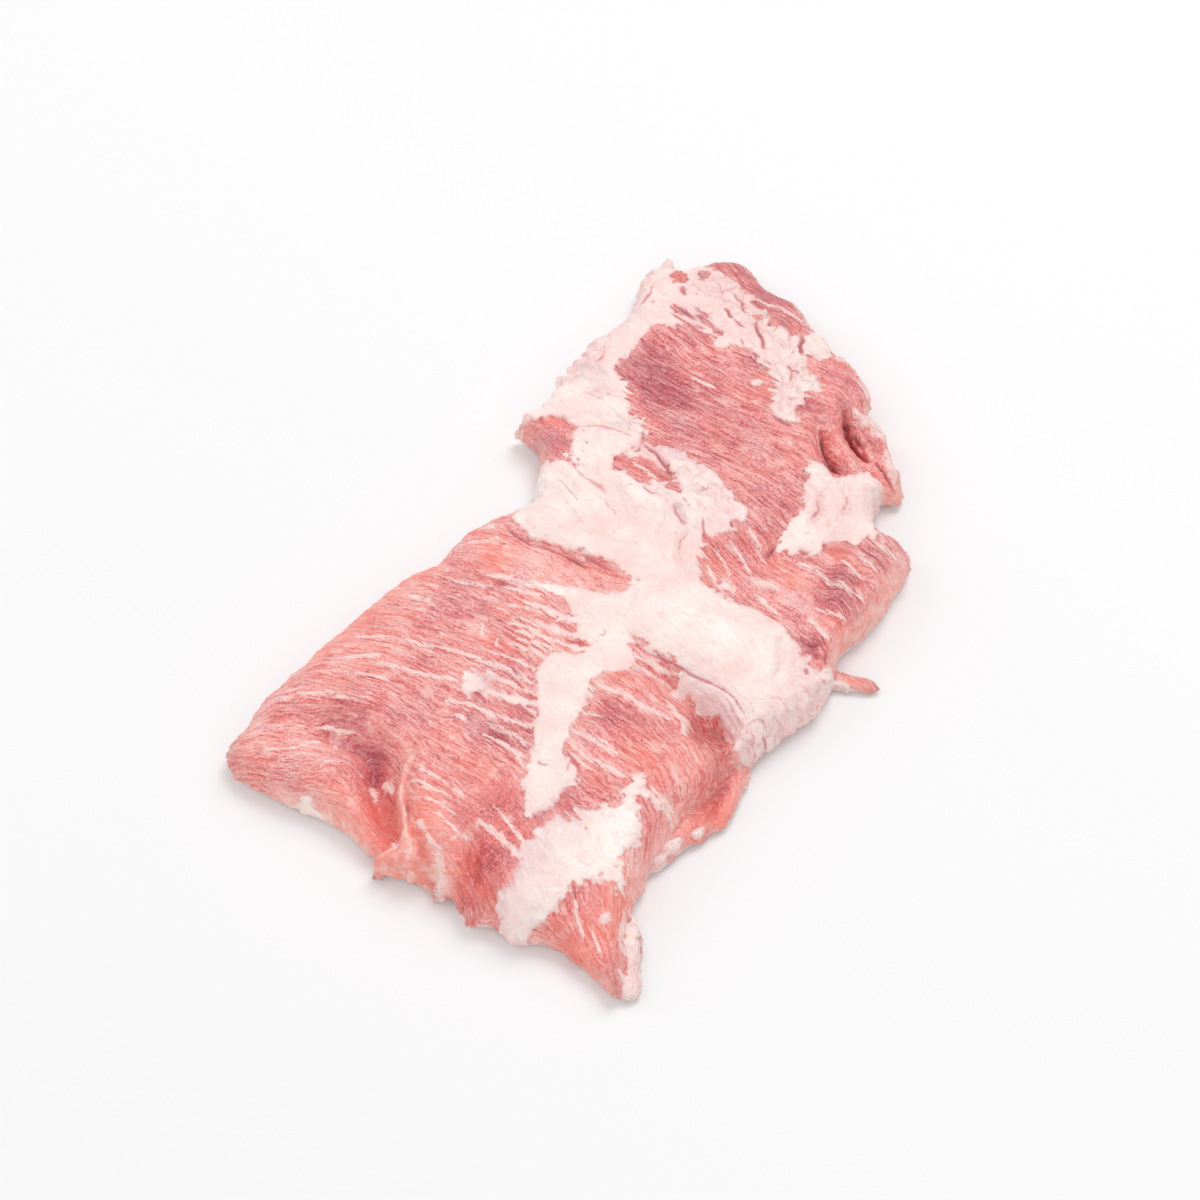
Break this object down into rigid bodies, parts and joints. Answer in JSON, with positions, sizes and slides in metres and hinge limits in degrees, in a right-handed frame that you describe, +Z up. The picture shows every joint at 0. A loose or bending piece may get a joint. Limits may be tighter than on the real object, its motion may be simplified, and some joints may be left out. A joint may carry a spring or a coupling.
{
  "type": "pork secreto",
  "caption": "Thin fan-shaped raw pork cut lying flat, lean meat with raised sheets of white fat, cooked whole or sliced.",
  "frame": {"origin": "middle of the cut's bounding box, at the flat underside", "axes": "+Z up, +Y along the length towards the narrow end, +X to the right of that"},
  "size_m": [0.1677, 0.2915, 0.0182],
  "materials": {
    "raw_pork": "raw pork, moist: pink grained lean with raised sheets of creamy white fat"
  },
  "bodies": {
    "root": {"secreto": "raw_pork"}
  },
  "joints": []
}
